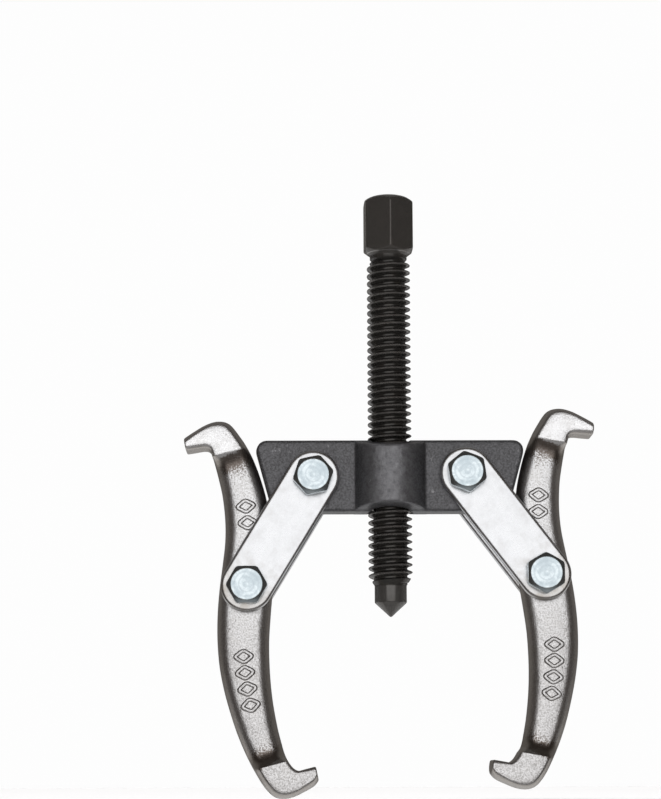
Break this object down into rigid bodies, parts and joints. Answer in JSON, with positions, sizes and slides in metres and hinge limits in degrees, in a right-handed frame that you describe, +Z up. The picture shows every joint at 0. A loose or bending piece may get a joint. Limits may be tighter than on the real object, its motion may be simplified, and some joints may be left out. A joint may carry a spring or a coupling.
{
  "type": "gear puller",
  "caption": "Gear puller: reversible forged jaws hung by strap links from a crossbar, with a threaded forcing spindle and a hex head.",
  "frame": {"origin": "on the spindle's axis, at the height of the lowest point of the two jaws", "axes": "+Z up along the spindle, from its point to its hex head; +X to the right jaw; -Y to the front, the side of the bolt heads"},
  "size_m": [0.1139, 0.0235, 0.1676],
  "materials": {
    "black_forging": "black, grainy forged surface",
    "black_steel": "black oxide, machined",
    "zinc_plate": "bright zinc plate",
    "nickel_forging": "satin nickel plate over a forged surface"
  },
  "bodies": {
    "crossbar": {"crossbar": "black_forging"},
    "spindle": {"spindle": "black_steel"},
    "left_links": {"left_front_link": "zinc_plate", "left_rear_link": "zinc_plate", "left_crossbar_bolt": "zinc_plate", "left_crossbar_nut": "zinc_plate", "left_jaw_bolt": "zinc_plate", "left_jaw_nut": "zinc_plate"},
    "right_links": {"right_front_link": "zinc_plate", "right_rear_link": "zinc_plate", "right_crossbar_bolt": "zinc_plate", "right_crossbar_nut": "zinc_plate", "right_jaw_bolt": "zinc_plate", "right_jaw_nut": "zinc_plate"},
    "left_jaw": {"left_jaw": "nickel_forging"},
    "right_jaw": {"right_jaw": "nickel_forging"}
  },
  "joints": [
    {"name": "spindle_feed", "type": "slide", "parent": "crossbar", "child": "spindle", "axis": [0, 0, -1], "range_m": [-0.018, 0.05]},
    {"name": "left_link_swing", "type": "hinge", "parent": "crossbar", "child": "left_links", "pos_m": [-0.0213, 0, 0.0874], "axis": [0, 1, 0], "range_deg": [0, 55]},
    {"name": "right_link_swing", "type": "hinge", "parent": "crossbar", "child": "right_links", "pos_m": [0.0209, 0, 0.0883], "axis": [0, -1, 0], "range_deg": [0, 48]},
    {"name": "left_jaw_pivot", "type": "hinge", "parent": "left_links", "child": "left_jaw", "pos_m": [-0.03943, 0, 0.05746], "axis": [0, 1, 0], "range_deg": [-55, 0]},
    {"name": "right_jaw_pivot", "type": "hinge", "parent": "right_links", "child": "right_jaw", "pos_m": [0.04206, 0, 0.06042], "axis": [0, -1, 0], "range_deg": [-48, 0]}
  ],
  "couplings": [
    {"joint": "left_jaw_pivot", "follows": "left_link_swing", "ratio": -1},
    {"joint": "right_jaw_pivot", "follows": "right_link_swing", "ratio": -1}
  ]
}
